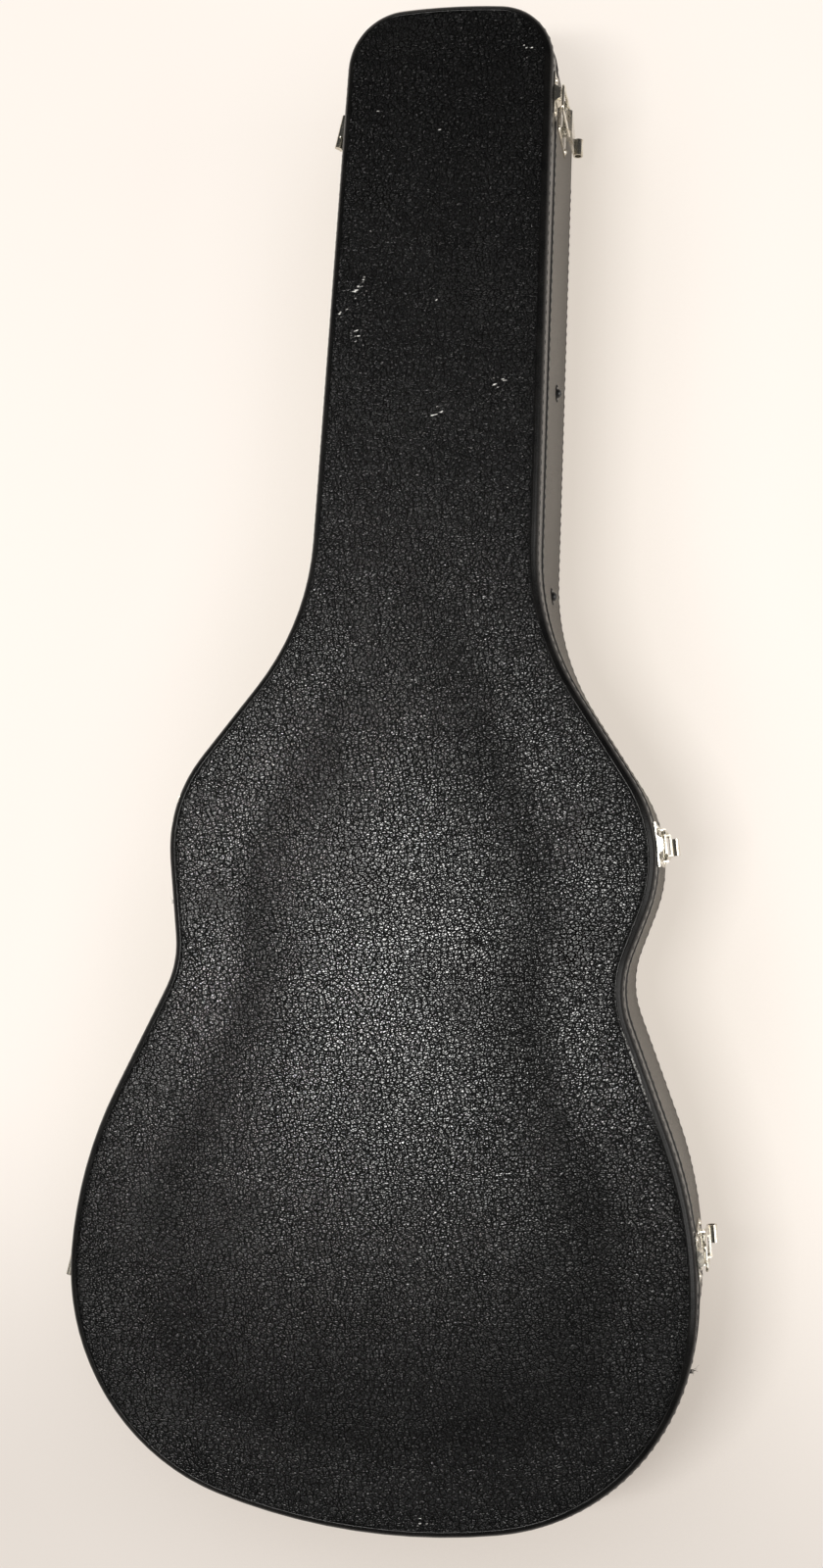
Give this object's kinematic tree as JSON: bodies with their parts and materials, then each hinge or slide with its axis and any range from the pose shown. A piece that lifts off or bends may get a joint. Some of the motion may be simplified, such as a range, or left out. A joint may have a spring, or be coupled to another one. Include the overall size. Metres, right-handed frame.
{
  "type": "guitar case",
  "caption": "Guitar-shaped hard case: pebbled leathercloth lid with a raised dome, hinged to a deep base with draw latches, padding, neck cradle and accessory box.",
  "frame": {"origin": "on the outside of the back panel, on the centreline, at half the length of the case", "axes": "+X to the latch side, +Y to the headstock end, +Z out of the lid"},
  "size_m": [0.4538, 1.0516, 0.1465],
  "materials": {
    "leathercloth": "black embossed pebble grain, semi-gloss",
    "smooth_binding": "smooth black vinyl, satin, stitched",
    "nickel": "aged nickel plate, slightly yellowed",
    "black_enamel": "black enamel with a worn bright crown",
    "plush": "short-pile wine-red plush",
    "ribbon": "woven tape, dark red",
    "fibre_board": "black fibre board"
  },
  "bodies": {
    "base": {"base_back_panel": "leathercloth", "base_edge_binding": "smooth_binding", "base_side_wall": "leathercloth", "base_seam_strip": "smooth_binding", "base_locating_lip": "fibre_board", "base_floor_padding": "plush", "base_side_padding": "plush", "box_wall_low": "plush", "box_wall_high": "plush", "box_shelf": "plush", "neck_cradle": "plush", "box_hinge_tape": "ribbon", "hinge_high_base_leaf": "nickel", "hinge_high_pin": "nickel", "hinge_middle_base_leaf": "nickel", "hinge_middle_pin": "nickel", "hinge_low_base_leaf": "nickel", "hinge_low_pin": "nickel", "latch_high_base_plate": "nickel", "latch_high_pin": "nickel", "latch_middle_base_plate": "nickel", "latch_middle_pin": "nickel", "latch_low_base_plate": "nickel", "latch_low_pin": "nickel", "latch_base_rivets": "nickel", "hinge_base_rivets": "nickel", "box_rivets": "black_enamel", "box_rivet_washers": "black_enamel"},
    "lid": {"lid_bead": "smooth_binding", "lid_side_wall": "smooth_binding", "lid_edge_binding": "smooth_binding", "lid_panel": "leathercloth", "lid_padding": "plush", "lid_side_padding": "plush", "hinge_high_lid_leaf": "nickel", "hinge_middle_lid_leaf": "nickel", "hinge_low_lid_leaf": "nickel", "latch_high_catch": "nickel", "latch_middle_catch": "nickel", "latch_low_catch": "nickel", "latch_catch_rivets": "nickel", "hinge_lid_rivets": "nickel"},
    "box_lid": {"box_lid": "plush", "box_pull_tab": "ribbon"},
    "latch_high_lever": {"latch_high_lever": "nickel"},
    "latch_high_bail": {"latch_high_bail": "nickel"},
    "latch_middle_lever": {"latch_middle_lever": "nickel"},
    "latch_middle_bail": {"latch_middle_bail": "nickel"},
    "latch_low_lever": {"latch_low_lever": "nickel"},
    "latch_low_bail": {"latch_low_bail": "nickel"}
  },
  "joints": [
    {"name": "lid_hinge", "type": "hinge", "parent": "base", "child": "lid", "pos_m": [-0.16911, -0.054, 0.109], "axis": [-0.166, -0.9861, 0], "range_deg": [0, 100]},
    {"name": "latch_high_throw", "type": "hinge", "parent": "base", "child": "latch_high_lever", "pos_m": [0.0741, 0.46311, 0.087], "axis": [0.032, -0.9995, 0], "range_deg": [0, 135]},
    {"name": "latch_high_bail_swing", "type": "hinge", "parent": "latch_high_lever", "child": "latch_high_bail", "pos_m": [0.07665, 0.46319, 0.078], "axis": [0.032, -0.9995, 0], "range_deg": [-148.5, 0]},
    {"name": "latch_middle_throw", "type": "hinge", "parent": "base", "child": "latch_middle_lever", "pos_m": [0.17507, -0.05546, 0.087], "axis": [0.16, -0.9871, 0], "range_deg": [0, 135]},
    {"name": "latch_middle_bail_swing", "type": "hinge", "parent": "latch_middle_lever", "child": "latch_middle_bail", "pos_m": [0.17758, -0.05505, 0.078], "axis": [0.16, -0.9871, 0], "range_deg": [-148.5, 0]},
    {"name": "latch_low_throw", "type": "hinge", "parent": "base", "child": "latch_low_lever", "pos_m": [0.2166, -0.32353, 0.087], "axis": [0.1379, -0.9904, 0], "range_deg": [0, 135]},
    {"name": "latch_low_bail_swing", "type": "hinge", "parent": "latch_low_lever", "child": "latch_low_bail", "pos_m": [0.21912, -0.32318, 0.078], "axis": [0.1379, -0.9904, 0], "range_deg": [-148.5, 0]},
    {"name": "box_lid_hinge", "type": "hinge", "parent": "base", "child": "box_lid", "pos_m": [0, 0.1705, 0.068], "axis": [-1, 0, 0], "range_deg": [0, 90]}
  ],
  "couplings": [
    {"joint": "latch_high_bail_swing", "follows": "latch_high_throw", "ratio": -1.1},
    {"joint": "latch_middle_bail_swing", "follows": "latch_middle_throw", "ratio": -1.1},
    {"joint": "latch_low_bail_swing", "follows": "latch_low_throw", "ratio": -1.1}
  ]
}
